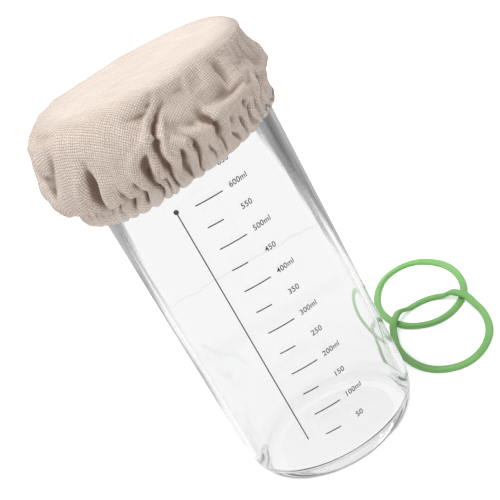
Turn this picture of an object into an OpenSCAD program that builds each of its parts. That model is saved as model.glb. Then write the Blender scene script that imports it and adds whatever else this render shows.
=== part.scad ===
// Sourdough starter jar: a straight, heavy-based glass jar with a fill scale fired on its
// outside, a gathered linen cover held by an elastic hem, and two flat rubber marker bands
// that lie loose beside it. The jar's axis is Z and the centre of its base is the origin.

/* [Glass jar] */
// Height of the glass
jar_h = 189.5; // [150:0.5:240]
// Outer diameter at the rim
rim_d = 85.5; // [82:0.5:110]
// Outer diameter of the wall, carried down to the foot
foot_d = 82; // [74:0.5:104]
// Wall thickness
wall = 3; // [2:0.1:4.5]
// Thickness of the heavy base
base_t = 8; // [6:0.1:12]
// Width of the rounded heel, seen from below
heel_w = 9.5; // [5:0.5:14]
// Height of the rounded heel
heel_h = 20; // [10:0.5:26]
// Radius inside, between floor and wall
floor_r = 4; // [3:0.5:9]
// Depth of the hollow under the base
punt = 1.6; // [0.5:0.1:3]
// Extra thickness of the rounded lip, on its inside
lip_bead = 0.6; // [0:0.1:1.2]

/* [Fill scale] */
// Height at which the scale starts to count
scale_zero = 13.6; // [13:0.1:16]
// Millilitres between two marks
mark_step = 50; // [25:25:100]
// Highest mark, in millilitres
top_mark = 650; // [500:50:650]
// Width of a printed line
line_w = 0.5; // [0.3:0.1:0.8]
// Thickness of the enamel
enamel = 0.1; // [0.06:0.02:0.2]
// Length of the marks at full hundreds
long_mark = 12.3; // [8:0.1:16]
// Length of the marks between them
short_mark = 7.2; // [4:0.1:9]
// Where the marks begin, in degrees round from the front
mark_start = -7.8; // [-12:0.1:0]
// Where the upright line stands, in degrees round from the front
line_turn = -18.6; // [-30:0.1:-12]
// Height of the upright line's lower end
line_foot = 25.5; // [22:0.5:40]
// Height of the dot that ends the line
line_head = 142; // [100:0.5:145]
// Diameter of the dot
dot_d = 2.2; // [1.6:0.1:3.2]

/* [Cover] */
// How far down the jar the hem reaches, from the rim
cover_drop = 38; // [30:0.5:44]
// Height of the casing that holds the elastic
casing_h = 9; // [8:0.5:11]
// How far the cloth puffs out past the hem
puff = 9; // [4:0.5:13]
// Room between the glass and the gathered hem
hem_room = 0.8; // [0.7:0.1:1.4]
// Thickness of the linen
cloth_t = 0.9; // [0.7:0.1:1.2]
// Number of gathers round the hem
gathers = 38; // [24:1:38]
// Depth of the gathers
gather_depth = 2.4; // [1.2:0.1:3.2]
// Depth of the broad folds in the puffed side
fold_depth = 1.7; // [0:0.1:2.4]
// How much lower the hem sits on the left than on the right, in degrees
hem_tilt = 4.6; // [0:0.2:5]
// Height of the cloth over the rim
crown = 1.9; // [1.4:0.1:4]
// Width of the elastic
elastic_w = 6; // [4:0.5:6.5]
// Thickness of the elastic
elastic_t = 1; // [0.6:0.1:1.2]

/* [Marker bands] */
// Length of a relaxed band, on its centreline
band_l = 79; // [66:1:86]
// Width of a relaxed band, on its centreline
band_w = 44; // [36:1:46]
// Width of the flat rubber
rubber_w = 3.6; // [2.6:0.1:4.4]
// Thickness of the flat rubber
rubber_t = 2.2; // [1.4:0.1:2.8]
// Room between the jar's foot and the nearer band
band_room = 2; // [1:0.5:6]
// How far the farther band lies behind the nearer one
band_step = 50; // [44:1:56]
// How much the rubber rolls on its own centreline, in degrees
band_roll = 9; // [0:1:14]

/* [Hidden] */
$fn = 96;

glass_tint = [0.86, 0.9, 0.9, 0.4];
enamel_grey = [0.27, 0.27, 0.28];
linen = [0.87, 0.8, 0.74];
linen_inside = [0.8, 0.73, 0.66];
elastic_white = [0.92, 0.91, 0.88];
rubber_green = [0.5, 0.78, 0.42];

// Glass jar

rim_r = rim_d / 2;
foot_r = foot_d / 2;
arc_steps = 10;
lip_r = (wall + lip_bead) / 2;
lip_z = jar_h - lip_r;
lean = (rim_r - foot_r) / lip_z;
stand_r = foot_r - heel_w;
stand_w = 4;

// Outer radius of the wall at a height
function wall_r(z) = foot_r + lean * z;

// Outline of the glass from the middle of its underside, up the outside, over the lip and
// down the inside to the middle of the floor
function underside() = [[0, punt], [stand_r - stand_w - 3 * punt, punt], [stand_r - stand_w, 0]];
function heel() = [for (i = [0 : arc_steps])
    let (q = 90 * i / arc_steps, z = heel_h * (1 - cos(q)))
    [wall_r(z) - heel_w * (1 - sin(q)), z]];
function lip() = [for (i = [0 : arc_steps])
    let (q = 180 * i / arc_steps)
    [rim_r - lip_r + lip_r * cos(q), lip_z + lip_r * sin(q)]];
function lip_blend() = [[wall_r(lip_z - 3 * lip_r) - wall, lip_z - 3 * lip_r]];
cavity_r = wall_r(base_t + floor_r) - wall;
function floor_curve() = [for (i = [0 : arc_steps])
    let (q = 90 * i / arc_steps)
    [cavity_r - floor_r + floor_r * cos(q), base_t + floor_r * (1 - sin(q))]];

module glass_jar() {
    color(glass_tint)
        rotate_extrude()
            polygon(concat(underside(), heel(), lip(), lip_blend(), floor_curve(), [[0, base_t]]));
}

// Fill scale

// The marks are spaced by what the jar really holds between two heights. The cavity is a cone
// there, so a volume over the scale's zero turns into a height with one cube root. A wall with
// no lean counts as one with a trace of it.
zero_r = wall_r(scale_zero) - wall;
cone_lean = abs(lean) < 0.00001 ? 0.00001 : lean;
function fill_z(ml) = scale_zero
    + (pow(pow(zero_r, 3) + 3 * cone_lean * 1000 * ml / PI, 1 / 3) - zero_r) / cone_lean;

front = -90;
volumes = [for (ml = [mark_step : mark_step : top_mark]) ml];
function degrees_of(arc, z) = arc / wall_r(z) * 180 / PI;

// Ring of enamel on the outside of the glass, from one height to another
module enamel_ring(low, high, sweep) {
    rotate_extrude(angle = sweep)
        polygon([[wall_r(low), low], [wall_r(low) + enamel, low],
                 [wall_r(high) + enamel, high], [wall_r(high), high]]);
}

module mark(ml, arc) {
    z = fill_z(ml);
    rotate([0, 0, front + mark_start])
        enamel_ring(z - line_w / 2, z + line_w / 2, degrees_of(arc, z));
}

module long_marks() {
    color(enamel_grey)
        for (ml = volumes)
            if (ml % 100 == 0) mark(ml, long_mark);
}

module short_marks() {
    color(enamel_grey)
        for (ml = volumes)
            if (ml % 100 != 0) mark(ml, short_mark);
}

// The upright line and its dot are cut from the same skin of enamel
module fill_line() {
    color(enamel_grey)
        intersection() {
            rotate([0, 0, front + line_turn - 5])
                enamel_ring(line_foot, line_head + dot_d, 10);
            rotate([0, 0, front + line_turn])
                rotate([90, 0, 90])
                    linear_extrude(2 * rim_r) {
                        translate([-line_w / 2, line_foot])
                            square([line_w, line_head - line_foot]);
                        translate([0, line_head])
                            circle(d = dot_d);
                    }
        }
}

// Cover

// Layers from the glass outwards: turned-in facing, elastic, outer cloth
layer_gap = 0.15;
sewn_depth = 0.3;
facing_t = 0.7;
facing_r = rim_r + hem_room;
elastic_r = facing_r + facing_t + layer_gap;
hem_r = elastic_r + elastic_t + layer_gap + cloth_t;
hem_z = jar_h - cover_drop;
casing_top = hem_z + casing_h;
crown_z = jar_h + crown;

// Side of the cloth: quarter turns q from the casing (0) over the puff (90) to the crown (180)
puff_turns = [25, 60, 95, 130, 165];
function side_r(q) = hem_r + (rim_r - hem_r) * (1 - cos(q)) / 2 + puff * sin(q);
function side_z(q) = casing_top + (crown_z - casing_top) * (1 - cos(q)) / 2;

// Each ring: radius, height, direction its outside faces, share of the gathers, share of
// the broad folds, share of the hem's tilt
cloth_rings = concat(
    [[hem_r, hem_z, -20, 1, 0, 1],
     [hem_r, hem_z + casing_h / 2, 0, 0.75, 0, 1]],
    [for (q = puff_turns)
        [side_r(q), side_z(q), max(0, q - 90), pow(max(0, cos(q * 0.85)), 1.6),
         sin(q), (1 + cos(q)) / 2]],
    [[0.55 * rim_r, crown_z + 0.2, 90, 0, 0.3, 0]]);

// Two points to a gather: even ones lie in a valley, odd ones on a ridge
cloth_points = 2 * gathers;
function cloth_turn(i) = 360 * i / cloth_points;
function gather_size(i) = (i % 2) * (1 + 0.3 * sin(137.5 * i)) * (1 - 0.35 * cos(cloth_turn(i)));
function broad_fold(a) = (sin(5 * a + 20) + 0.7 * sin(8 * a + 75) + 0.4 * sin(13 * a)) / 2.1
    - 1.4 * cos(a);
function tilt_rise(x, share) = share * x * tan(hem_tilt);

function cloth_point(ring, i, inset) =
    let (a = cloth_turn(i),
         r = ring[0] + gather_depth * gather_size(i) * ring[3] + fold_depth * broad_fold(a) * ring[4]
             - inset * cos(ring[2]),
         z = ring[1] - inset * sin(ring[2]) + 0.2 * ring[4] * fold_depth * (1 + sin(3 * a + 40)))
    [r * cos(a), r * sin(a), z + tilt_rise(r * cos(a), ring[5])];

// Outer skin from hem to crown, then the inner skin in the same order
function cloth_skin(inset) = concat(
    [for (ring = cloth_rings) for (i = [0 : cloth_points - 1]) cloth_point(ring, i, inset)],
    [[0, 0, crown_z + 0.1 - inset]]);

// Faces between the rings of a closed sweep whose rings start at a given point
function ring_faces(start, rings, points, out) = [
    for (k = [0 : rings - 2]) for (i = [0 : points - 1])
        let (a = start + k * points + i,
             b = start + k * points + (i + 1) % points,
             c = b + points,
             d = a + points)
        each out ? [[a, c, b], [a, d, c]] : [[a, b, c], [a, c, d]]];

module cover_cloth() {
    rings = len(cloth_rings);
    skin = rings * cloth_points + 1;
    crown_ring = (rings - 1) * cloth_points;
    next = function (i) (i + 1) % cloth_points;
    color(linen)
        polyhedron(
            points = concat(cloth_skin(0), cloth_skin(cloth_t)),
            faces = concat(
                ring_faces(0, rings, cloth_points, true),
                ring_faces(skin, rings, cloth_points, false),
                [for (i = [0 : cloth_points - 1])
                    [crown_ring + i, skin - 1, crown_ring + next(i)]],
                [for (i = [0 : cloth_points - 1])
                    [skin + crown_ring + i, skin + crown_ring + next(i), 2 * skin - 1]],
                [for (i = [0 : cloth_points - 1])
                    each [[i, next(i), skin + next(i)], [i, skin + next(i), skin + i]]]),
            convexity = 8);
}

// Puts a ring that is drawn level, with its middle at height 0, into the tilted casing
module in_casing() {
    translate([0, 0, hem_z + casing_h / 2])
        rotate([0, -hem_tilt, 0])
            children();
}

// The hem's turned-in layer: a band against the glass that leans out at both edges, where
// the outer cloth is sewn to it
module hem_facing() {
    half = casing_h / 2;
    seam_r = hem_r - cloth_t + sewn_depth;
    lean_z = half - 1;
    color(linen_inside)
        in_casing()
            rotate_extrude()
                polygon([[facing_r, -lean_z], [seam_r - facing_t, -half], [seam_r, -half],
                         [facing_r + facing_t, -lean_z + 0.4], [facing_r + facing_t, lean_z - 0.4],
                         [seam_r, half], [seam_r - facing_t, half], [facing_r, lean_z]]);
}

module hem_elastic() {
    color(elastic_white)
        in_casing()
            rotate_extrude()
                translate([elastic_r, -elastic_w / 2])
                    square([elastic_t, elastic_w]);
}

// Marker bands

band_rings = 60;
band_x = foot_r + band_room + (band_w + rubber_w) / 2;
band_y = 34;
band_shift = 5;
lie_gap = 0.35;
ramp = 13;

// Flat section with rounded corners, wider across the loop than it is thick
corner = 0.32 * rubber_t;
function section() = let (w = rubber_w / 2, t = rubber_t / 2)
    [[w, corner - t], [w, t - corner], [w - corner, t], [corner - w, t],
     [-w, t - corner], [-w, corner - t], [corner - w, -t], [w - corner, -t]];

function roll(a, phase) = band_roll * (0.7 * sin(2 * a + phase) + 0.3 * sin(5 * a));
function turned(p, q) = [p[0] * cos(q) - p[1] * sin(q), p[0] * sin(q) + p[1] * cos(q)];
function half_height(a, phase) = -min([for (p = section()) turned(p, roll(a, phase))[1]]);
band_top = rubber_t + rubber_w * sin(band_roll);

// Centreline of a relaxed band, a slightly uneven oval
function oval(middle, phase) = [for (i = [0 : band_rings - 1])
    let (a = 360 * i / band_rings,
         uneven = 1 + 0.008 * sin(3 * a + phase) + 0.004 * sin(7 * a))
    [middle[0] + band_w / 2 * uneven * cos(a), middle[1] + band_l / 2 * uneven * sin(a)]];

lower_oval = oval([band_x + band_shift, band_y + band_step], 200);
upper_oval = oval([band_x, band_y], 40);

// How high the upper band is carried where it passes over the lower one
function reach(p, path) = min([for (q = path) norm(p - q)]);
function eased(x) = let (s = max(0, min(1, x))) s * s * (3 - 2 * s);
function carried(p, path) = (band_top + lie_gap) * eased((ramp - reach(p, path)) / (ramp - rubber_w));

// A closed band swept round an oval; lift has its height over the ground at each ring
module band(path, lift, phase) {
    sides = len(section());
    count = band_rings * sides;
    points = [for (i = [0 : band_rings - 1])
        let (a = 360 * i / band_rings,
             along = path[(i + 1) % band_rings] - path[(i + band_rings - 1) % band_rings],
             across = [along[1], -along[0]] / norm(along),
             z = lift[i] + half_height(a, phase))
        for (p = section())
            let (q = turned(p, roll(a, phase)))
            [path[i][0] + across[0] * q[0], path[i][1] + across[1] * q[0], z + q[1]]];
    faces = [for (i = [0 : band_rings - 1]) for (k = [0 : sides - 1])
        let (a = i * sides + k,
             b = i * sides + (k + 1) % sides,
             c = (b + sides) % count,
             d = (a + sides) % count)
        each [[a, b, c], [a, c, d]]];
    color(rubber_green)
        polyhedron(points, faces, convexity = 6);
}

module marker_band_lower() {
    band(lower_oval, [for (p = lower_oval) 0], 30);
}

module marker_band_upper() {
    band(upper_oval, [for (p = upper_oval) carried(p, lower_oval)], 110);
}

glass_jar();
fill_line();
long_marks();
short_marks();
cover_cloth();
hem_facing();
hem_elastic();
marker_band_lower();
marker_band_upper();
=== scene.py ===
import math

import bpy
import numpy as np
from mathutils import Matrix, Vector, noise


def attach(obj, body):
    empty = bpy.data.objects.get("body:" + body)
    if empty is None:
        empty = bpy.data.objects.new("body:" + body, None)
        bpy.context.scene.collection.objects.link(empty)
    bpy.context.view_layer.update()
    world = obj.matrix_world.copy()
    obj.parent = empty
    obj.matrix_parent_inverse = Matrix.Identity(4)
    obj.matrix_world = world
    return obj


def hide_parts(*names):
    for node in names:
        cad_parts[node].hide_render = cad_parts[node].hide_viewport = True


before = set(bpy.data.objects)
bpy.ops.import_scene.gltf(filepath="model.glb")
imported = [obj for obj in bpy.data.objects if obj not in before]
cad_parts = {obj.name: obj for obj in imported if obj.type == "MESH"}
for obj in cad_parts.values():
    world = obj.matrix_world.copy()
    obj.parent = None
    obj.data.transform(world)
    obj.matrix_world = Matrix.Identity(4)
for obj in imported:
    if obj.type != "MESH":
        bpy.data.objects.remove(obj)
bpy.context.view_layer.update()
mm = 0.001
scene = bpy.context.scene


# shader helpers

class Wave:
    # a value in a material; + - * / ** and the comparisons below add Math nodes
    def __init__(self, shade, socket):
        self.shade, self.socket = shade, socket

    def calc(self, operation, *others, clamp=False):
        values = {i: v for i, v in enumerate((self,) + others)}
        return self.shade.node("ShaderNodeMath", {"operation": operation, "use_clamp": clamp}, values)[0]

    def __add__(self, other): return self.calc("ADD", other)
    def __radd__(self, other): return self.calc("ADD", other)
    def __sub__(self, other): return self.calc("SUBTRACT", other)
    def __mul__(self, other): return self.calc("MULTIPLY", other)
    def __rmul__(self, other): return self.calc("MULTIPLY", other)
    def __truediv__(self, other): return self.calc("DIVIDE", other)
    def __pow__(self, other): return self.calc("POWER", other)
    def __neg__(self): return self.calc("MULTIPLY", -1)

    def __rsub__(self, other):
        return self.shade.node("ShaderNodeMath", {"operation": "SUBTRACT"}, {0: other, 1: self})[0]

    def __rtruediv__(self, other):
        return self.shade.node("ShaderNodeMath", {"operation": "DIVIDE"}, {0: other, 1: self})[0]

    def sin(self): return self.calc("SINE")
    def abs(self): return self.calc("ABSOLUTE")
    def most(self, other): return self.calc("MAXIMUM", other)
    def least(self, other): return self.calc("MINIMUM", other)
    def kept(self): return self.calc("ADD", 0, clamp=True)


class Shade:
    # one material; node() makes a node from its type, its settings and its sockets
    def __init__(self, name):
        self.material = bpy.data.materials.new(name)
        self.material.use_nodes = True
        self.tree = self.material.node_tree
        self.tree.nodes.clear()

    def node(self, kind, settings=None, sockets=None):
        made = self.tree.nodes.new(kind)
        for key, value in (settings or {}).items():
            if key == "stops":
                ramp = made.color_ramp
                while len(ramp.elements) < len(value):
                    ramp.elements.new(0.5)
                for stop, (place, colour) in zip(ramp.elements, value):
                    stop.position, stop.color = place, (*colour, 1) if len(colour) == 3 else colour
            else:
                setattr(made, key, value)
        for key, value in (sockets or {}).items():
            socket = made.inputs[key]
            if isinstance(value, Wave):
                self.tree.links.new(value.socket, socket)
            elif hasattr(value, "__len__") and socket.type == "RGBA" and len(value) == 3:
                socket.default_value = (*value, 1)
            else:
                socket.default_value = value
        return [Wave(self, out) for out in made.outputs]

    def mix(self, factor, a, b):
        return self.node("ShaderNodeMix", {"data_type": "RGBA"}, {0: factor, 6: a, 7: b})[2]

    def noise(self, where, scale, detail=2.0, rough=0.5, distort=0.0):
        return self.node("ShaderNodeTexNoise", {}, {
            "Vector": where, "Scale": scale, "Detail": detail, "Roughness": rough, "Distortion": distort})[0]

    def vector(self, x, y, z):
        return self.node("ShaderNodeCombineXYZ", {}, {0: x, 1: y, 2: z})[0]

    def parts(self, vector):
        return self.node("ShaderNodeSeparateXYZ", {}, {0: vector})

    def bump(self, height, strength, distance):
        return self.node("ShaderNodeBump", {}, {
            "Strength": strength, "Distance": distance, "Height": height})[0]

    def surface(self, **sockets):
        shader = self.node("ShaderNodeBsdfPrincipled", {}, {k.replace("_", " "): v for k, v in sockets.items()})
        return self.end(shader[0])

    def end(self, shader, volume=None):
        inside = {} if volume is None else {"Volume": volume}
        self.node("ShaderNodeOutputMaterial", {}, {"Surface": shader, **inside})
        return self.material


def srgb(*levels):
    # a colour read as 0 to 255 screen levels, in the linear form that shaders take
    return tuple((v / 255 / 12.92) if v <= 10 else ((v / 255 + 0.055) / 1.055) ** 2.4 for v in levels)


def keepSmooth(obj):
    obj.data.polygons.foreach_set("use_smooth", np.ones(len(obj.data.polygons), bool))
    obj.data.update()


def addMesh(name, points, faces, material, uv=None):
    mesh = bpy.data.meshes.new(name)
    mesh.from_pydata([tuple(p) for p in points], [], [tuple(f) for f in faces])
    mesh.update()
    obj = bpy.data.objects.new(name, mesh)
    scene.collection.objects.link(obj)
    mesh.materials.append(material)
    if uv is not None:
        layer = mesh.uv_layers.new(name="flat")
        corners = np.zeros(len(mesh.loops), int)
        mesh.loops.foreach_get("vertex_index", corners)
        layer.data.foreach_set("uv", np.asarray(uv, np.float32)[corners].ravel())
    keepSmooth(obj)
    return obj


def eased(x):
    x = np.clip(x, 0, 1)
    return x * x * (3 - 2 * x)


def smoothLine(points, steps):
    # a smooth line through given points, with steps to each gap
    p = np.array(points, float)
    p = np.vstack([2 * p[0] - p[1], p, 2 * p[-1] - p[-2]])
    out = []
    for i in range(1, len(p) - 2):
        for t in np.arange(steps) / steps:
            a, b, c, d = p[i - 1:i + 3]
            out.append(0.5 * (2 * b + (c - a) * t + (2 * a - 5 * b + 4 * c - d) * t ** 2
                              + (3 * b - a - 3 * c + d) * t ** 3))
    out.append(p[-2])
    return np.array(out)


def gridFaces(rows, columns, closed=True):
    faces = []
    for i in range(rows - 1):
        for j in range(columns if closed else columns - 1):
            k = (j + 1) % columns
            faces.append((i * columns + j, i * columns + k, (i + 1) * columns + k, (i + 1) * columns + j))
    return faces


# camera

view = {
    "distance": 550,       # from the jar's middle, in mm
    "aimHeight": 90,       # height of that middle
    "elevation": 20.85,    # degrees above level
    "lean": 29.54,         # roll, which makes the jar lean in the picture
    "offsetX": -11.29,     # where the middle falls in the picture, in pixels from its centre
    "offsetY": -18.62,
    "focal": 1261,         # in pixels of a 500 pixel picture
}


def addCamera():
    e, roll = math.radians(view["elevation"]), math.radians(view["lean"])
    yaw = math.atan(view["offsetX"] / view["focal"])
    pitch = math.atan(view["offsetY"] / view["focal"])
    ahead = Vector((0, math.cos(e), -math.sin(e)))
    right = Vector((1, 0, 0))
    up = Vector((0, math.sin(e), math.cos(e)))
    place = Vector((0, 0, view["aimHeight"])) - ahead * view["distance"]
    right, ahead = right * math.cos(yaw) + ahead * math.sin(yaw), ahead * math.cos(yaw) - right * math.sin(yaw)
    up, ahead = up * math.cos(pitch) + ahead * math.sin(pitch), ahead * math.cos(pitch) - up * math.sin(pitch)
    side = right * math.cos(roll) - up * math.sin(roll)
    top = right * math.sin(roll) + up * math.cos(roll)
    camera = bpy.data.objects.new("camera", bpy.data.cameras.new("camera"))
    camera.data.sensor_width = 36
    camera.data.lens = view["focal"] / 500 * 36
    camera.data.clip_start, camera.data.clip_end = 0.01, 20
    turn = Matrix((side, top, -ahead)).transposed()
    camera.matrix_world = Matrix.Translation(place * mm) @ turn.to_4x4()
    scene.collection.objects.link(camera)
    scene.camera = camera


addCamera()
print("camera set")


# glass jar

jar = {
    "height": 189.5,
    "rimRadius": 42.75,
    "footRadius": 41.0,     # the wall's outside, carried down to the foot
    "wall": 3.0,
    "lipBead": 0.6,
    "base": 8.0,
    "heelWidth": 9.5,
    "heelHeight": 20.0,
    "floorRadius": 4.0,
    "punt": 1.6,
    "standWidth": 4.0,
    "ripple": 0.10,         # unevenness of the pressed glass, in mm
    "segments": 256,
    "tint": (0.93, 0.93, 0.932),
    "density": 3,           # how much a thick part greys, per metre of glass
    # the three edge colours paint a dark rim on the glass at grazing angles: painted shade and reflection
    "paintedEdgeDark": (0.14, 0.14, 0.144),
    "edgeLight": (0.46, 0.46, 0.465),
    "edgePale": (0.76, 0.76, 0.76),    # of the same painted edge lower down
    "waveLine": 93.2,       # height of a faint wavy painted reflection line on the glass, at the jar's middle
    "waveRise": 0.4,        # how fast that line climbs towards the front
    "shadeBandHeight": 66,         # height of a broad and fainter painted shade band below it
    "edgeFrom": 66,         # the painted dark edge begins at this height and is full at the next
    "edgeTo": 150,
}
lipRadius = (jar["wall"] + jar["lipBead"]) / 2
lipHeight = jar["height"] - lipRadius
wallLean = (jar["rimRadius"] - jar["footRadius"]) / lipHeight


def wallRadius(z):
    return jar["footRadius"] + wallLean * z


cavityRadius = wallRadius(jar["base"] + jar["floorRadius"]) - jar["wall"]


def jarOutline():
    # from the middle of the underside up the outside, over the lip, down to the middle of the floor
    stand = jar["footRadius"] - jar["heelWidth"]
    inner = stand - jar["standWidth"]
    line = [(r, jar["punt"] * (1 - eased(r / inner))) for r in np.linspace(0, inner, 16)]
    line += [(stand - 2, 0)]
    for q in np.linspace(0, math.pi / 2, 28):
        z = jar["heelHeight"] * (1 - math.cos(q))
        line.append((wallRadius(z) - jar["heelWidth"] * (1 - math.sin(q)), z))
    line += [(wallRadius(z), z) for z in np.linspace(jar["heelHeight"] + 3, lipHeight - 3, 60)]
    for q in np.linspace(0, math.pi, 20):
        line.append((jar["rimRadius"] - lipRadius + lipRadius * math.cos(q), lipHeight + lipRadius * math.sin(q)))
    top = lipHeight - 3 * lipRadius
    low = jar["base"] + jar["floorRadius"]
    line += [(wallRadius(z) - jar["wall"], z) for z in np.linspace(top, low + 3, 60)]
    for q in np.linspace(0, math.pi / 2, 22):
        line.append((cavityRadius - jar["floorRadius"] * (1 - math.cos(q)),
                     jar["base"] + jar["floorRadius"] * (1 - math.sin(q))))
    line += [(r, jar["base"]) for r in np.linspace(cavityRadius - jar["floorRadius"] - 3, 0, 9)]
    return np.array(line)


def makeGlass():
    # clear glass, with a painted dark rim where it is seen at grazing angles, painted shade and reflection that fades
    # down the wall
    shade = Shade("clearGlass")
    where = shade.node("ShaderNodeTexCoord")[3]
    place = shade.parts(where)
    slow = shade.noise(where, 18, 2, 0.5, 0.4)
    streak = shade.noise(shade.vector(place[0] * 110, place[1] * 110, place[2] * 14), 1.0, 3)
    bump = shade.bump(slow, 0.12, 0.0006)
    x, y, z = place[0] * 1000, place[1] * 1000, place[2] * 1000
    wobble = shade.noise(shade.vector(place[0] * 110, 0.0, 0.0), 1.0, 3) - 0.5
    onOutside = ((x * x + y * y) ** 0.5 - 40.5).kept() * ((y + 10) * -0.05).kept()
    # a faint wavy painted reflection line and a broad fainter painted shade band below it, which darken the glass's
    # colour on the outer front
    tilted = z + y * jar["waveRise"] + wobble * 5
    line = (1 - (tilted - jar["waveLine"]).abs() / 0.7).kept()
    paintedShadeBand = (1 - (tilted - jar["shadeBandHeight"]).abs() / 5).kept()
    paintedReflectionAndShade = (line * 0.4 + paintedShadeBand * 0.14) * onOutside
    clear = shade.node("ShaderNodeBsdfPrincipled", {}, {
        "Base Color": shade.mix(paintedReflectionAndShade, jar["tint"], (0.5, 0.5, 0.5)), "Roughness": 0.004, "IOR": 1.5,
        "Transmission Weight": 1.0, "Normal": bump})[0]
    # painted shade and reflection: a dark rim at grazing angles, darker high up and on the right, paler lower down
    grazing = shade.node("ShaderNodeLayerWeight", {}, {"Blend": 0.5})[1]
    high = ((z - jar["edgeFrom"]) / (jar["edgeTo"] - jar["edgeFrom"])).kept()
    onRight = (place[0] * 30 + 0.5).kept()
    border = 0.97 - (high + 0.0001) ** 0.6 * (onRight * 0.17 + 0.43)
    paintedEdgeShade = ((grazing - border + (streak - 0.5) * 0.5) * 9).kept() * 0.92
    pale = ((grazing - 0.7) * 4).kept() * (onRight * 0.25 + 0.12)
    dark = shade.mix(((streak - 0.4) * 5).kept(), jar["paintedEdgeDark"], jar["edgeLight"])
    paintedEdgeShader = shade.node("ShaderNodeBsdfPrincipled", {}, {
        "Base Color": shade.mix((high * 4).kept(), jar["edgePale"], dark),
        "Roughness": 0.3, "Specular IOR Level": 0.1})[0]
    edge = paintedEdgeShade.most(pale)
    glass = shade.node("ShaderNodeMixShader", {}, {0: edge, 1: clear, 2: paintedEdgeShader})[0]
    passing = shade.node("ShaderNodeBsdfTransparent", {}, {"Color": (0.97, 0.975, 0.975)})[0]
    shadow = shade.node("ShaderNodeLightPath")[1]
    body = shade.node("ShaderNodeVolumeAbsorption", {}, {"Color": (0.5, 0.5, 0.51), "Density": jar["density"]})[0]
    return shade.end(shade.node("ShaderNodeMixShader", {}, {0: shadow * 0.85, 1: glass, 2: passing})[0], body)


def buildJar():
    outline = jarOutline()
    inner, outer = outline[:1], outline[-1:]
    turns = np.linspace(0, 2 * math.pi, jar["segments"], endpoint=False)
    r, z = outline[1:-1, 0][:, None], outline[1:-1, 1][:, None]
    onWall = eased((z - 22) / 20) * eased((180 - z) / 12)
    ripple = jar["ripple"] * onWall * (np.sin(3 * turns + z / 23) * 0.6 + np.sin(5 * turns - z / 13 + 1) * 0.3)
    inside = np.arange(len(outline) - 2)[:, None] > len(outline) // 2
    r = r + np.where(inside, ripple, ripple * 0.0)
    points = np.stack([r * np.cos(turns), r * np.sin(turns), z + 0 * r], -1).reshape(-1, 3)
    count, rows = jar["segments"], len(outline) - 2
    points = np.vstack([points, [(0, 0, inner[0][1])], [(0, 0, outer[0][1])]]) * mm
    faces = gridFaces(rows, count)
    under, floor = len(points) - 2, len(points) - 1
    last = (rows - 1) * count
    faces += [(under, (j + 1) % count, j) for j in range(count)]
    faces += [(floor, last + j, last + (j + 1) % count) for j in range(count)]
    obj = addMesh("jarGlass", points, faces, makeGlass())
    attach(obj, "jar")
    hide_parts("glass_jar")
    return obj


buildJar()
print("jar built")


# fill scale

scale = {
    "zero": 13.6,             # height at which the scale starts to count
    "step": 50,               # millilitres between marks
    "last": 650,
    "figureTurn": 13.4,       # degrees round from the front, where the figures start
    "figureHeight": 2.45,     # of a figure, in mm
    "figureLift": 0.35,       # of the middle of a figure over its mark
    "thin": 0.013,            # makes the letter strokes lighter or bolder
    "enamel": 0.06,
}


def markHeight(millilitres):
    # the height at which the cavity holds that much above the scale's zero
    start = wallRadius(scale["zero"]) - jar["wall"]
    cube = start ** 3 + 3 * wallLean * 1000 * millilitres / math.pi
    return scale["zero"] + (cube ** (1 / 3) - start) / wallLean


def makeEnamel():
    shade = Shade("greyEnamel")
    where = shade.node("ShaderNodeTexCoord")[3]
    wear = shade.noise(where, 900, 3)
    return shade.surface(
        Base_Color=shade.mix(wear, srgb(56, 56, 58), srgb(76, 76, 78)),
        Roughness=wear * 0.2 + 0.35,
        Normal=shade.bump(wear, 0.2, 0.00005))


def buildScale():
    enamel = makeEnamel()
    for name in ("fill_line", "long_marks", "short_marks"):
        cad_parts[name].data.materials.clear()
        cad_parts[name].data.materials.append(enamel)
    for amount in range(scale["step"], scale["last"] + 1, scale["step"]):
        words = f"{amount}ml" if amount % 100 == 0 else f"{amount}"
        curve = bpy.data.curves.new(f"figures{amount}", "FONT")
        curve.body, curve.size, curve.align_x, curve.align_y = words, 1.0, "LEFT", "CENTER"
        curve.offset, curve.space_character = scale["thin"], 1.05
        flat = bpy.data.objects.new("flat", curve)
        scene.collection.objects.link(flat)
        bpy.context.view_layer.update()
        mesh = bpy.data.meshes.new_from_object(flat.evaluated_get(bpy.context.evaluated_depsgraph_get()))
        bpy.data.objects.remove(flat)
        size = scale["figureHeight"] / 0.72
        for v in mesh.vertices:
            z = markHeight(amount) + scale["figureLift"] + v.co.y * size
            r = wallRadius(z) + scale["enamel"]
            turn = math.radians(scale["figureTurn"]) + v.co.x * size / r
            v.co = Vector((r * math.sin(turn), -r * math.cos(turn), z)) * mm
        mesh.materials.clear()
        mesh.materials.append(enamel)
        obj = bpy.data.objects.new(f"figures{amount}", mesh)
        scene.collection.objects.link(obj)
        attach(obj, "jar")


buildScale()
print("scale printed")


# linen cover

cover = {
    "columns": 640,
    "rowStep": 0.85,         # between the rows of the mesh, in mm
    "thread": 0.96,          # spacing of the linen's threads, in mm
    "threadTurn": 38,        # how the threads lie to the front, in degrees
    "tilt": 4.6,             # the hem's tilt, lower on the left
    "sway": 4.0,             # how much further the cloth puffs out on the left
    "casing": 9,             # height of the channel that holds the elastic
    "gatherDepth": 4.0,
    "gatherEvery": 8.6,      # degrees, where no gather is listed
    "hemRadius": 45.9,       # the closest that the outer cloth comes at the hem
    "thickness": 0.5,
    "flatRadius": 96,        # of the round of cloth, before it was gathered
    "settleSteps": 12,
    "panelTurn": -34,        # middle of the smooth panel left of the front
    "calm": 0.55,            # how firmly that panel is held while the cloth settles
}

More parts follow.
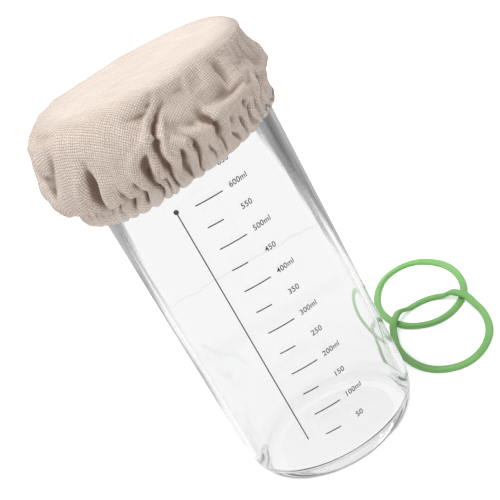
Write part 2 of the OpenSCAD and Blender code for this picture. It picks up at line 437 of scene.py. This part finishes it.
# outline of the cloth from the crown down to the hem's fold, then up inside to the seam
clothOutline = [
    (0, 190.9), (14, 191.1), (28, 191.5), (38, 191.7), (44.4, 191.2), (49.3, 188.6), (52.3, 183.9), (53.8, 178.2),
    (54.0, 172.6), (53.7, 167.9), (52.1, 163.8), (49.8, 160.9), (48.0, 158.7), (47.5, 155.9), (47.6, 153.6),
    (47.3, 152.3), (46.3, 151.6), (45.2, 152.0), (44.4, 153.4), (44.0, 156.5), (44.1, 159.6)]

# the hem's valleys on the front, in degrees round from it
hemValleys = [-60, -54.5, -46.5, -40, -33.6, -25.7, -18, -13.2, -9, -0.7, 6, 13, 19.9, 28.6, 36.5, 44, 49.5, 57.5]

# folds: points (degrees round from the front, height), half-width and depth in mm
folds = [
    ([(-66, 190.5), (-62, 184.0), (-63, 177.0), (-67, 170.0)], 4.6, 2.0),
    ([(-39, 177.0), (-41, 168.5), (-45, 161.0), (-47, 153.0)], 2.4, 4.4),
    ([(-9, 174.0), (-15, 168.5), (-17, 162.5), (-18, 153.0)], 2.2, 3.8),
    ([(4, 186.5), (-3, 181.5), (-7, 174.5), (-9, 166.0), (-9.5, 153.0)], 1.5, 3.4),
    ([(0.5, 168.5), (0.4, 161.0), (-0.8, 152.0)], 1.6, 2.6),
    ([(4, 174.0), (6.5, 168.0), (6.5, 161.0), (6, 153.0)], 1.6, 2.6),
    ([(16, 177.0), (18, 170.5), (19.3, 164.0), (19.9, 154.0)], 1.9, 3.2),
    ([(27, 166.0), (28, 160.5), (28.6, 155.0)], 1.5, 2.2),
    ([(36, 170.0), (39, 163.0), (43.5, 155.0)], 1.6, 2.4),
    ([(55, 177.5), (54, 169.0), (54.5, 161.5), (58, 153.0)], 2.2, 4.8),
    ([(-31, 165.5), (-33, 158.0), (-33.6, 152.5)], 1.5, 2.2),
    ([(-23.5, 166.0), (-25, 158.5), (-25.7, 152.5)], 1.5, 2.2),
    ([(72, 170.0), (74, 163.0), (74, 155.0)], 1.8, 1.8),
    ([(-84, 178.0), (-81, 166.0), (-80, 152.5)], 2.8, 2.4),
    ([(112, 180.0), (108, 168.0), (106, 155.0)], 2.2, 3.2),
    ([(150, 176.0), (146, 166.0), (149, 154.0)], 1.9, 2.8),
    ([(-172, 184.0), (-168, 172.0), (-171, 156.0)], 2.3, 3.4),
    ([(-136, 178.0), (-140, 166.0), (-137, 153.0)], 2.0, 3.0),
    ([(-110, 186.0), (-106, 172.0), (-109, 154.0)], 2.4, 3.2),
]


def makeLinen(hemAt):
    shade = Shade("naturalLinen")
    pitch = cover["thread"] * mm
    flat = shade.parts(shade.node("ShaderNodeUVMap", {"uv_map": "flat"})[0])
    angle = math.radians(cover["threadTurn"])
    u = flat[0] * math.cos(angle) + flat[1] * math.sin(angle)
    v = flat[1] * math.cos(angle) - flat[0] * math.sin(angle)
    place = shade.vector(u, v, 0.0)
    sway = shade.noise(place, 260, 2) - 0.5
    swayToo = shade.noise(shade.vector(u, v, 0.05), 260, 2) - 0.5
    a = u * (1 / pitch) + sway * 1.3
    b = v * (1 / pitch) + swayToo * 1.3
    alongA = (a * math.pi).sin()
    alongB = (b * math.pi).sin()
    over = (alongA * alongB * 3.0 + 0.5).kept()          # 1 where a warp thread lies on top
    ridgeA, ridgeB = alongA.abs() + 0.0001, alongB.abs() + 0.0001
    warp = ridgeA * ridgeB ** 0.35
    weft = ridgeB * ridgeA ** 0.35
    height = warp * over + weft * (1 - over)
    # every thread has its own thickness and shade, which change slowly along it
    slubA = shade.noise(shade.vector(u * 900, v * 45, 0.0), 1.0, 2)
    slubB = shade.noise(shade.vector(u * 45, v * 900, 3.0), 1.0, 2)
    slub = slubA * over + slubB * (1 - over)
    body = shade.noise(place, 55, 3)
    # pulled flat over the rim, the weave shows less than on the loose side; the flat top is also painted lighter than
    # the hanging sides, which is painted light
    along = (flat[0] ** 2 + flat[1] ** 2) ** 0.5
    loose = ((along - 0.036) * 80).kept()
    doubled = ((along - (hemAt - cover["casing"]) * mm) * 500).kept()      # the casing has two layers
    speck = shade.noise(place, 1500, 1) - 0.5
    # the - loose * 0.32 term is painted light: it darkens the hanging sides against the flat top
    tone = (height * (loose * 0.36 + 0.3) + slub * 0.7 + 0.22 - loose * 0.32 + (body - 0.5) * 0.2
            + speck * 0.65 + doubled * 0.16).kept()
    open = shade.mix(tone, srgb(168, 140, 123), srgb(250, 238, 228))
    # the hollows of the folds and gathers lie in each other's shade
    hollow = shade.node("ShaderNodeAttribute", {"attribute_name": "hollow"})[2]
    colour = shade.mix(hollow * 0.85, open, srgb(122, 94, 76))
    relief = height * (slub * 0.7 + 0.6) * (loose * 0.88 + 0.12)
    return shade.surface(
        Base_Color=colour,
        Roughness=0.95 - height * 0.08,
        Sheen_Weight=0.05, Sheen_Roughness=0.5, Sheen_Tint=(0.95, 0.9, 0.85, 1),
        Specular_IOR_Level=0.2,
        Normal=shade.bump(relief, 1.0, 0.0003))


def foldDepth(turn, height):
    # sum of the listed folds at each point: a valley with a soft lip on both sides
    total = np.zeros_like(turn)
    aroundMm = math.radians(1) * 50
    for line, width, depth in folds:
        path = smoothLine(line, 6)
        best = np.full(turn.shape, 1e9)
        along = np.zeros_like(turn)
        for i in range(len(path) - 1):
            px = ((turn - path[i, 0] + 180) % 360 - 180) * aroundMm
            pz = height - path[i, 1]
            vx, vz = (path[i + 1, 0] - path[i, 0]) * aroundMm, path[i + 1, 1] - path[i, 1]
            t = np.clip((px * vx + pz * vz) / (vx * vx + vz * vz), 0, 1)
            gap = np.hypot(px - t * vx, pz - t * vz)
            nearer = gap < best
            best = np.where(nearer, gap, best)
            along = np.where(nearer, (i + t) / (len(path) - 1), along)
        start = eased(along / 0.4) * 0.85 + 0.15
        x = best / (width * (0.7 + 0.3 * start))
        total += depth * start * (0.45 * np.exp(-((x - 2.0) / 0.85) ** 2) - np.exp(-x ** 1.5))
    return total


def gatherPhase(turn):
    # counts the hem's gathers round the jar: a whole number lies in a valley
    first, last = hemValleys[0], hemValleys[0] + 360
    count = round((last - hemValleys[-1]) / cover["gatherEvery"])
    spots = np.linspace(hemValleys[-1], last, count + 1)[1:]
    spots = spots + 1.3 * np.sin(spots * 2.7) * np.sin(math.pi * (spots - hemValleys[-1]) / (last - hemValleys[-1]))
    spots = np.concatenate([hemValleys, spots])
    return np.interp((turn - first) % 360 + first, spots, np.arange(len(spots)))


def hashed(number, seed):
    return np.abs(np.sin(number * 78.233 + seed * 12.99)) ** 0.8


def coverShape(s, turn):
    # where the cloth lies, from its distance to the crown along the cloth and its turn
    line = smoothLine(clothOutline, 10)
    length = np.concatenate([[0], np.cumsum(np.hypot(*np.diff(line, axis=0).T))])
    tangent = np.gradient(line, axis=0)
    tangent /= np.linalg.norm(tangent, axis=1)[:, None]
    hemAt = length[np.argmin(line[:, 1])]
    rad = np.radians(turn)
    r, z = np.interp(s, length, line[:, 0]), np.interp(s, length, line[:, 1])
    outR, outZ = -np.interp(s, length, tangent[:, 1]), np.interp(s, length, tangent[:, 0])
    outside = s <= hemAt
    up = np.maximum(hemAt - s, 0)
    side = eased((s - 40) / 17)
    inner = 1 - eased((s - hemAt) / 3)
    inCasing = 1 - eased((up - cover["casing"] + 1) / 5)
    tiltShare = eased((s - 45) / (hemAt - 45))
    tilt = math.tan(math.radians(cover["tilt"]))
    puff = -cover["sway"] * np.sin(rad) * side * np.where(outside, 1 - 0.45 * inCasing, 0)
    wander = 1.1 * np.sin(rad * 9 + up * 0.35) + 0.8 * np.sin(rad * 23 - up * 0.5 + 1)
    phase = gatherPhase(turn + 0.45 * np.sin(rad) * up + wander * eased(up / 5))
    which = np.round(phase)                 # the valley that a point is nearest to
    valley = 1 - np.abs(np.sin(math.pi * phase)) ** 0.6
    between = (1 - np.abs(np.cos(math.pi * phase)) ** 0.6) * hashed(np.floor(phase), 3)     # a lesser one
    strength = 0.5 + 0.75 * hashed(which, 1)
    reach = 5 + 12 * hashed(which, 2)
    held = 0.25 + 0.75 * eased(up / 5)      # the elastic flattens the gathers at the edge
    fade = (1 - eased((up - 5) / reach)) * held
    evenFade = (1 - eased((up - 5) / 11)) * held
    gather = 0.4 * evenFade - strength * fade * valley - 0.4 * between * evenFade
    gather = cover["gatherDepth"] * gather * np.where(outside, 1, inner)
    height = z + r * np.sin(rad) * tilt * tiltShare
    crease = foldDepth(turn, height) * np.where(outside, eased((s - 40) / 8) * (1 - 0.85 * inCasing), 0)
    flat = r.ravel(), rad.ravel(), z.ravel()
    rumple = np.array([noise.noise(Vector((a * math.sin(q) / 17, a * math.cos(q) / 17, h / 17))) * 1.1
                       + noise.noise(Vector((a * math.sin(q) / 7 + 9, a * math.cos(q) / 7, h / 8))) * 0.5
                       for a, q, h in zip(*flat)]).reshape(r.shape)
    rumple *= np.where(outside, 0.35 + 0.65 * side, inner) * eased(s / 20 + 0.4) * (1 - 0.7 * inCasing)
    push = puff + gather + crease + rumple
    swell = 0.7 * np.sin(r * np.cos(rad) / 13 + 0.6) * np.sin(r * np.sin(rad) / 16 + 1.9) + 0.5
    push = np.where(side < 0.5, np.maximum(push, -0.25) + swell * eased(r / 20) * (1 - 2 * side), push)
    r2, z2 = r + push * outR, z + push * outZ
    closest = np.where(outside, cover["hemRadius"] - 1.6 * (1 - inCasing), 0)
    r2 = np.where(s > 52, np.maximum(r2, closest), r2)
    z2 = z2 + 0.2 * strength * valley * (1 - eased(up / 5)) * np.where(outside, 1, inner)  # scallops the edge
    x, y = r2 * np.sin(rad), -r2 * np.cos(rad)
    return np.stack([x, y, z2 + x * tilt * tiltShare], -1), hemAt, length[-1]


def settleCover(hemAt):
    # how far cloth physics moves the puffed side, on a coarse net: its hoops are cut longer than
    # the way round the jar, so they buckle into folds between the held top and the held casing
    rows, columns = 36, 240
    s = np.repeat(np.linspace(4, hemAt, rows)[:, None], columns, 1)
    turn = np.repeat(np.linspace(-180, 180, columns, endpoint=False)[None, :], rows, 0)
    start = coverShape(s, turn)[0].reshape(-1, 3) * mm
    cut = np.stack([s * np.sin(np.radians(turn)), -s * np.cos(np.radians(turn)), 0 * s], -1).reshape(-1, 3) * mm
    mesh = bpy.data.meshes.new("net")
    mesh.from_pydata([tuple(p) for p in start], [], gridFaces(rows, columns))
    net = bpy.data.objects.new("net", mesh)
    scene.collection.objects.link(net)
    net.shape_key_add(name="Basis")
    rest = net.shape_key_add(name="cut")
    rest.data.foreach_set("co", cut.ravel())
    held = net.vertex_groups.new(name="held")
    for i in range(rows):
        hold = max(1 - eased((s[i, 0] - 40) / 9), eased((s[i, 0] - hemAt + cover["casing"] + 7) / 6))
        for j in range(columns):
            calm = cover["calm"] * (1 - eased((abs(turn[i, j] - cover["panelTurn"]) - 14) / 9))
            held.add([i * columns + j], float(max(hold, calm)), "REPLACE")
    cloth = net.modifiers.new("linen", "CLOTH")
    fabric = cloth.settings
    fabric.quality, fabric.mass, fabric.air_damping = 5, 0.15, 3
    fabric.tension_stiffness = fabric.compression_stiffness = 6
    fabric.shear_stiffness, fabric.bending_stiffness = 2, 0.6
    fabric.tension_damping = fabric.compression_damping = fabric.shear_damping = 5
    fabric.vertex_group_mass, fabric.rest_shape_key = "held", rest
    fabric.effector_weights.gravity = 0.3
    cloth.collision_settings.use_collision = False
    cloth.point_cache.frame_start, cloth.point_cache.frame_end = 1, cover["settleSteps"]
    for step in range(1, cover["settleSteps"] + 1):
        scene.frame_set(step)
    done = net.evaluated_get(bpy.context.evaluated_depsgraph_get())
    ended = np.empty(len(start) * 3)
    done.data.vertices.foreach_get("co", ended)
    moved = (ended.reshape(-1, 3) - start) / mm
    far = np.linalg.norm(moved, axis=1)
    print("cloth settled, moved up to", round(float(far.max()), 1), "mm, on average", round(float(far.mean()), 2))
    moved *= np.minimum(1, 5 / np.maximum(far, 1e-6))[:, None]
    bpy.data.objects.remove(net)
    scene.frame_set(1)
    return s[:, 0], moved.reshape(rows, columns, 3)


def hollows(points, s, hemAt):
    # how far each point of the puffed side lies behind the cloth around it, from 0 to 1
    out = np.hypot(points[..., 0], points[..., 1])
    wave = np.fft.rfftfreq(out.shape[1])
    blurred = np.fft.irfft(np.fft.rfft(out, axis=1) * np.exp(-2 * (math.pi * wave * 9) ** 2), out.shape[1], axis=1)
    soft = np.exp(-0.5 * (np.arange(-8, 9) / 3.0) ** 2)
    padded = np.pad(blurred, ((8, 8), (0, 0)), "edge")
    blurred = sum(w * padded[k:k + len(out)] for k, w in enumerate(soft / soft.sum()))
    casing = 1 - 0.15 * eased((s - hemAt + cover["casing"] + 2) / 4)
    beside = (eased((s - 44) / 8) * casing * (s <= hemAt))[:, None]
    return eased((blurred - out) / 1.4) * beside


def buildCover():
    hemAt, whole = coverShape(np.zeros((1, 1)), np.zeros((1, 1)))[1:]
    rows, columns = int(whole / cover["rowStep"]), cover["columns"]
    s = np.repeat(np.linspace(whole / rows, whole, rows)[:, None], columns, 1)
    turn = np.repeat(np.linspace(-180, 180, columns, endpoint=False)[None, :], rows, 0)
    points = coverShape(s, turn)[0]
    netRows, moved = settleCover(hemAt)
    moved = np.concatenate([moved, moved[:, :1]], 1)
    around = np.linspace(0, moved.shape[1] - 1, columns, endpoint=False)
    low = around.astype(int)
    part = (around - low)[None, :, None]
    moved = moved[:, low] * (1 - part) + moved[:, low + 1] * part
    for k in range(3):
        for j in range(columns):
            points[:, j, k] += np.interp(s[:, j], netRows, moved[:, j, k], left=0, right=0)
    cut = np.stack([s * np.sin(np.radians(turn)), -s * np.cos(np.radians(turn))], -1)
    top = points[0].mean(0)
    points = np.vstack([points.reshape(-1, 3), top[None]]) * mm
    uv = np.vstack([cut.reshape(-1, 2), [[0, 0]]]) * mm
    faces = gridFaces(rows, columns)
    faces += [(len(points) - 1, (j + 1) % columns, j) for j in range(columns)]
    faces = [tuple(reversed(f)) for f in faces]
    obj = addMesh("linenCover", points, faces, makeLinen(hemAt), uv)
    deep = np.append(hollows(points[:-1].reshape(rows, columns, 3) / mm, s[:, 0], hemAt).ravel(), 0)
    obj.data.attributes.new("hollow", "FLOAT", "POINT").data.foreach_set("value", deep.astype(np.float32))
    solid = obj.modifiers.new("cloth", "SOLIDIFY")
    solid.thickness, solid.offset = cover["thickness"] * mm, -1
    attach(obj, "cover")
    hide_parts("cover_cloth", "hem_facing")
    return obj


def makeElastic():
    shade = Shade("wovenElastic")
    where = shade.parts(shade.node("ShaderNodeTexCoord")[3])
    rib = (where[2] * 9000).sin() * 0.5 + 0.5
    return shade.surface(Base_Color=shade.mix(rib, srgb(205, 203, 196), srgb(238, 236, 230)), Roughness=0.8,
                         Normal=shade.bump(rib, 0.4, 0.0002))


buildCover()
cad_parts["hem_elastic"].data.materials.clear()
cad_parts["hem_elastic"].data.materials.append(makeElastic())
print("cover sewn")


# marker bands

bands = {
    "length": 79, "width": 44,          # of a relaxed band, on its centreline
    "rubberWidth": 3.6, "rubberThick": 2.2,
    "roll": 9,                          # how much the rubber rolls, in degrees
    "middle": (66.8, 34),               # of the upper band
    "behind": (5, 50),                  # from there to the middle of the lower band
    "lie": 0.35, "ramp": 13,
    "rings": 240,
}


def makeRubber():
    shade = Shade("greenRubber")
    uv = shade.parts(shade.node("ShaderNodeUVMap", {"uv_map": "flat"})[0])
    where = shade.node("ShaderNodeTexCoord")[3]
    streak = shade.noise(shade.vector(uv[0] * 18, uv[1] * 900, 0.0), 1.0, 3)
    grain = shade.noise(where, 1400, 3)
    patch = shade.noise(where, 60, 2)
    tone = (streak * 0.9 + patch * 0.5 - 0.2).kept()
    return shade.surface(
        Base_Color=shade.mix(tone, srgb(104, 178, 82), srgb(152, 208, 130)),
        Roughness=grain * 0.2 + 0.42,
        Normal=shade.bump(grain * 0.4 + streak, 0.25, 0.00012))


def bandOval(middle, phase, count):
    a = np.radians(np.arange(count) * 360 / count)
    uneven = 1 + 0.008 * np.sin(3 * a + math.radians(phase)) + 0.004 * np.sin(7 * a)
    return np.stack([middle[0] + bands["width"] / 2 * uneven * np.cos(a),
                     middle[1] + bands["length"] / 2 * uneven * np.sin(a)], 1), a


def buildBand(name, node, body, middle, ovalPhase, rollPhase, under, material):
    path, a = bandOval(middle, ovalPhase, bands["rings"])
    w, t = bands["rubberWidth"] / 2, bands["rubberThick"] / 2
    corner = 0.3 * bands["rubberThick"]
    section = []
    for cx, cy, start in ((w - corner, t - corner, 0), (corner - w, t - corner, 90),
                          (corner - w, corner - t, 180), (w - corner, corner - t, 270)):
        section += [(cx + corner * math.cos(math.radians(start + q)), cy + corner * math.sin(math.radians(start + q)))
                    for q in (0, 30, 60, 90)]
    section = np.array(section)
    roll = np.radians(bands["roll"] * (0.7 * np.sin(2 * a + math.radians(rollPhase)) + 0.3 * np.sin(5 * a)))
    across = np.roll(path, -1, 0) - np.roll(path, 1, 0)
    across = np.stack([across[:, 1], -across[:, 0]], 1)
    across /= np.linalg.norm(across, axis=1)[:, None]
    bandTop = bands["rubberThick"] + bands["rubberWidth"] * math.sin(math.radians(bands["roll"]))
    lift = np.zeros(len(path))
    if under is not None:
        gap = np.linalg.norm(path[:, None] - under[None], axis=2).min(1)
        lift = (bandTop + bands["lie"]) * eased((bands["ramp"] - gap) / (bands["ramp"] - bands["rubberWidth"]))
    side = section[None, :, 0] * np.cos(roll)[:, None] - section[None, :, 1] * np.sin(roll)[:, None]
    rise = section[None, :, 0] * np.sin(roll)[:, None] + section[None, :, 1] * np.cos(roll)[:, None]
    rise = rise - rise.min(1)[:, None] + lift[:, None]
    points = np.concatenate([path[:, None, :] + across[:, None, :] * side[:, :, None], rise[:, :, None]], 2)
    rings, sides = len(path), len(section)
    faces = []
    for i in range(rings):
        for k in range(sides):
            n, m = (i + 1) % rings, (k + 1) % sides
            faces.append((i * sides + k, i * sides + m, n * sides + m, n * sides + k))
    along = np.arange(rings) / rings
    uv = np.stack([np.repeat(np.abs(along * 2 - 1), sides) * 0.2,
                   np.tile(np.abs(np.arange(sides) / sides * 2 - 1), rings) * 0.006], 1)
    obj = addMesh(name, points.reshape(-1, 3) * mm, faces, material, uv)
    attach(obj, body)
    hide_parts(node)
    return path


rubber = makeRubber()
farMiddle = (bands["middle"][0] + bands["behind"][0], bands["middle"][1] + bands["behind"][1])
lowerPath = buildBand("markerBandLower", "marker_band_lower", "lower_band", farMiddle, 200, 30, None, rubber)
buildBand("markerBandUpper", "marker_band_upper", "upper_band", bands["middle"], 40, 110, lowerPath, rubber)
print("bands laid")


# floor, background and light

studio = {
    "floorTone": 0.9,
    "floorLift": 0.5,        # makes the lit floor read as white and keeps its shadow
    "whiteThrough": 0.88,      # share of plain white that glass shows of the floor
    "worldLight": 0.46,
    "sunLight": 2.35,
    "sunFrom": (-0.24, -0.2, 1.0),
    "sunSize": 35,            # degrees across, which softens the shadows
}


def addFloor():
    shade = Shade("paleFloor")
    path = shade.node("ShaderNodeLightPath")
    seen = path[0].most(path[3]).most(path[6])
    matt = shade.node("ShaderNodeBsdfDiffuse", {}, {"Color": (studio["floorTone"],) * 3})[0]
    white = shade.node("ShaderNodeEmission", {}, {"Color": (1, 1, 1), "Strength": 1.0})[0]
    glow = shade.node("ShaderNodeMixShader", {}, {0: seen * studio["floorLift"], 2: white})[0]
    lit = shade.node("ShaderNodeAddShader", {}, {0: matt, 1: glow})[0]
    through = path[3].most(path[6]) * studio["whiteThrough"]
    material = shade.end(shade.node("ShaderNodeMixShader", {}, {0: through, 1: lit, 2: white})[0])
    half = 3.0
    floor = addMesh("floor", [(-half, -half, 0), (half, -half, 0), (half, half, 0), (-half, half, 0)],
                    [(0, 1, 2, 3)], material)


def addWorld():
    world = bpy.data.worlds.new("studio")
    scene.world = world
    world.use_nodes = True
    tree = world.node_tree
    tree.nodes.clear()
    path = tree.nodes.new("ShaderNodeLightPath")
    seen = tree.nodes.new("ShaderNodeMath")
    seen.operation = "MAXIMUM"
    also = tree.nodes.new("ShaderNodeMath")
    also.operation = "MAXIMUM"
    tree.links.new(path.outputs["Is Camera Ray"], seen.inputs[0])
    tree.links.new(path.outputs["Is Glossy Ray"], seen.inputs[1])
    tree.links.new(seen.outputs[0], also.inputs[0])
    tree.links.new(path.outputs["Is Transmission Ray"], also.inputs[1])
    light = tree.nodes.new("ShaderNodeBackground")
    light.inputs["Strength"].default_value = studio["worldLight"]
    white = tree.nodes.new("ShaderNodeBackground")
    white.inputs["Strength"].default_value = 1.0
    white.inputs["Color"].default_value = (1, 1, 1, 1)
    light.inputs["Color"].default_value = (1, 1, 1, 1)
    mix = tree.nodes.new("ShaderNodeMixShader")
    tree.links.new(also.outputs[0], mix.inputs[0])
    tree.links.new(light.outputs[0], mix.inputs[1])
    tree.links.new(white.outputs[0], mix.inputs[2])
    out = tree.nodes.new("ShaderNodeOutputWorld")
    tree.links.new(mix.outputs[0], out.inputs["Surface"])


def addSun():
    lamp = bpy.data.lights.new("sun", "SUN")
    lamp.energy, lamp.angle = studio["sunLight"], math.radians(studio["sunSize"])
    obj = bpy.data.objects.new("sun", lamp)
    obj.rotation_mode = "QUATERNION"
    obj.rotation_quaternion = Vector(studio["sunFrom"]).to_track_quat("Z", "Y")
    scene.collection.objects.link(obj)


addFloor()
addWorld()
addSun()
scene.view_settings.view_transform = "Standard"
print("studio lit")
